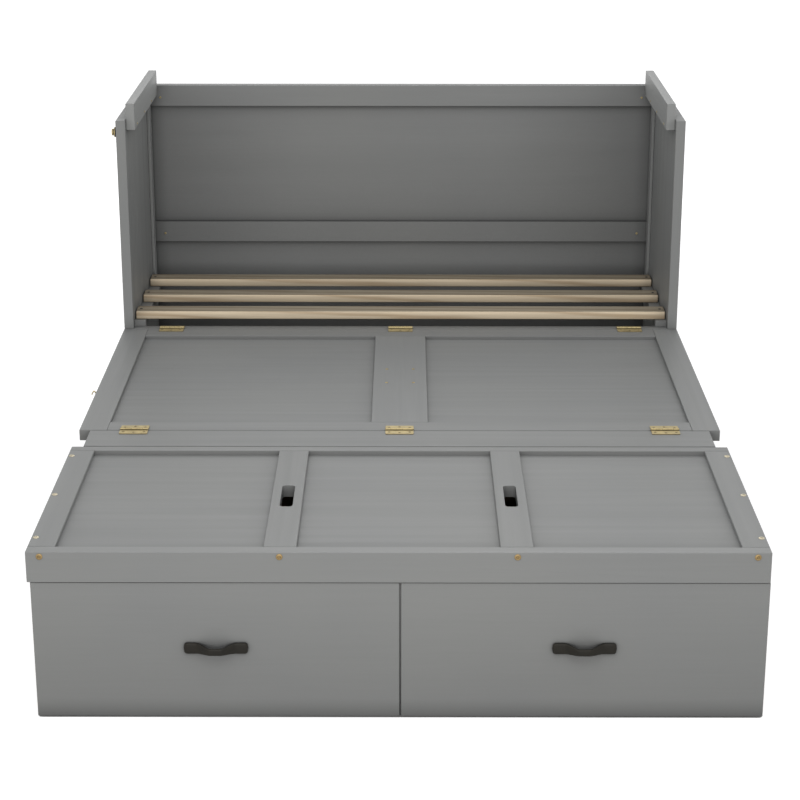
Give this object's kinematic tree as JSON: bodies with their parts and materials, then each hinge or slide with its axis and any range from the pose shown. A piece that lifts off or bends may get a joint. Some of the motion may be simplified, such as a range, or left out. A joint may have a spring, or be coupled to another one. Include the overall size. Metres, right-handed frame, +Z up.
{
  "type": "wall bed",
  "caption": "Grey cabinet bed opened out: upright cabinet with slats, folding front panel and flap, lift-off lid as foot deck, and rolling drawers beneath.",
  "frame": {"origin": "centre of the overall footprint on the floor", "axes": "+X to the right seen from the foot, +Y from the foot to the cabinet at the head, +Z up; the foot rim and drawer handles face -Y"},
  "size_m": [1.6257, 2.177, 1.059],
  "materials": {
    "grey_paint": "satin grey lacquer over boards, with a faint brushed grain",
    "grey_panel": "satin grey lacquer over thin panels",
    "pine": "bare sanded pine with grain and small knots",
    "pine_ply": "bare drawer board",
    "brass": "yellow plated, softly polished",
    "dark_bronze": "dark bronze, rubbed satin",
    "dark_steel": "dark screw heads",
    "zinc_steel": "zinc-plated pressed steel",
    "black_plastic": "black moulded wheel"
  },
  "bodies": {
    "cabinet": {"side_panel_left": "grey_paint", "side_panel_right": "grey_paint", "back_panel": "grey_panel", "top_back_rail": "grey_paint", "middle_back_rail": "grey_paint", "corner_battens": "grey_paint", "hinge_rail": "grey_paint", "slat_ledges": "grey_paint", "slat_front": "pine", "slat_middle": "pine", "slat_rear": "pine", "slat_screws": "dark_steel", "lid_cleat_left": "grey_paint", "lid_cleat_right": "grey_paint", "cabinet_screws": "brass", "latch_catch": "brass", "cabinet_hinge_leaves": "brass"},
    "front_panel": {"front_stile_left": "grey_paint", "front_stile_right": "grey_paint", "front_stile_centre": "grey_paint", "front_rail_hinge_side": "grey_paint", "front_rail_flap_side": "grey_paint", "front_infill_left": "grey_panel", "front_infill_right": "grey_panel", "front_handles": "dark_bronze", "front_handle_screws": "brass", "front_hinge_leaves": "brass", "latch_hook": "brass"},
    "flap": {"flap_board": "grey_paint", "flap_hinge_leaves": "brass"},
    "lid": {"lid_front_rim": "grey_paint", "lid_rim_left": "grey_paint", "lid_rim_right": "grey_paint", "lid_back_board": "grey_paint", "lid_side_stile_left": "grey_paint", "lid_side_stile_right": "grey_paint", "lid_middle_stile_left": "grey_paint", "lid_middle_stile_right": "grey_paint", "lid_infill_left": "grey_panel", "lid_infill_centre": "grey_panel", "lid_infill_right": "grey_panel", "lid_screws": "brass"},
    "drawer_left": {"drawer_front_left": "grey_paint", "drawer_side_inner_left": "pine_ply", "drawer_side_outer_left": "pine_ply", "drawer_back_left": "pine_ply", "drawer_bottom_left": "pine_ply", "drawer_handle_left": "dark_bronze", "drawer_brackets_left": "zinc_steel"},
    "wheels_front_left": {"drawer_wheels_front_left": "black_plastic"},
    "wheels_rear_left": {"drawer_wheels_rear_left": "black_plastic"},
    "drawer_right": {"drawer_front_right": "grey_paint", "drawer_side_inner_right": "pine_ply", "drawer_side_outer_right": "pine_ply", "drawer_back_right": "pine_ply", "drawer_bottom_right": "pine_ply", "drawer_handle_right": "dark_bronze", "drawer_brackets_right": "zinc_steel"},
    "wheels_front_right": {"drawer_wheels_front_right": "black_plastic"},
    "wheels_rear_right": {"drawer_wheels_rear_right": "black_plastic"}
  },
  "joints": [
    {"name": "front_panel_fold", "type": "hinge", "parent": "cabinet", "child": "front_panel", "pos_m": [0, 0.5085, 0.4036], "axis": [-1, 0, 0], "range_deg": [0, 90]},
    {"name": "flap_fold", "type": "hinge", "parent": "front_panel", "child": "flap", "pos_m": [0, -0.325, 0.4036], "axis": [-1, 0, 0], "range_deg": [0, 180]},
    {"name": "lid_lift", "type": "slide", "parent": "cabinet", "child": "lid", "axis": [0, 0, 1], "range_m": [0, 0.35]},
    {"name": "drawer_left_roll", "type": "slide", "parent": "cabinet", "child": "drawer_left", "axis": [0, 1, 0], "range_m": [-0.45, 1.53]},
    {"name": "wheels_front_left_spin", "type": "hinge", "parent": "drawer_left", "child": "wheels_front_left", "pos_m": [-0.4, -0.9915, 0.016], "axis": [1, 0, 0], "continuous": true},
    {"name": "wheels_rear_left_spin", "type": "hinge", "parent": "drawer_left", "child": "wheels_rear_left", "pos_m": [-0.4, -0.5185, 0.016], "axis": [1, 0, 0], "continuous": true},
    {"name": "drawer_right_roll", "type": "slide", "parent": "cabinet", "child": "drawer_right", "axis": [0, 1, 0], "range_m": [-0.45, 1.53]},
    {"name": "wheels_front_right_spin", "type": "hinge", "parent": "drawer_right", "child": "wheels_front_right", "pos_m": [0.4, -0.9915, 0.016], "axis": [1, 0, 0], "continuous": true},
    {"name": "wheels_rear_right_spin", "type": "hinge", "parent": "drawer_right", "child": "wheels_rear_right", "pos_m": [0.4, -0.5185, 0.016], "axis": [1, 0, 0], "continuous": true}
  ]
}
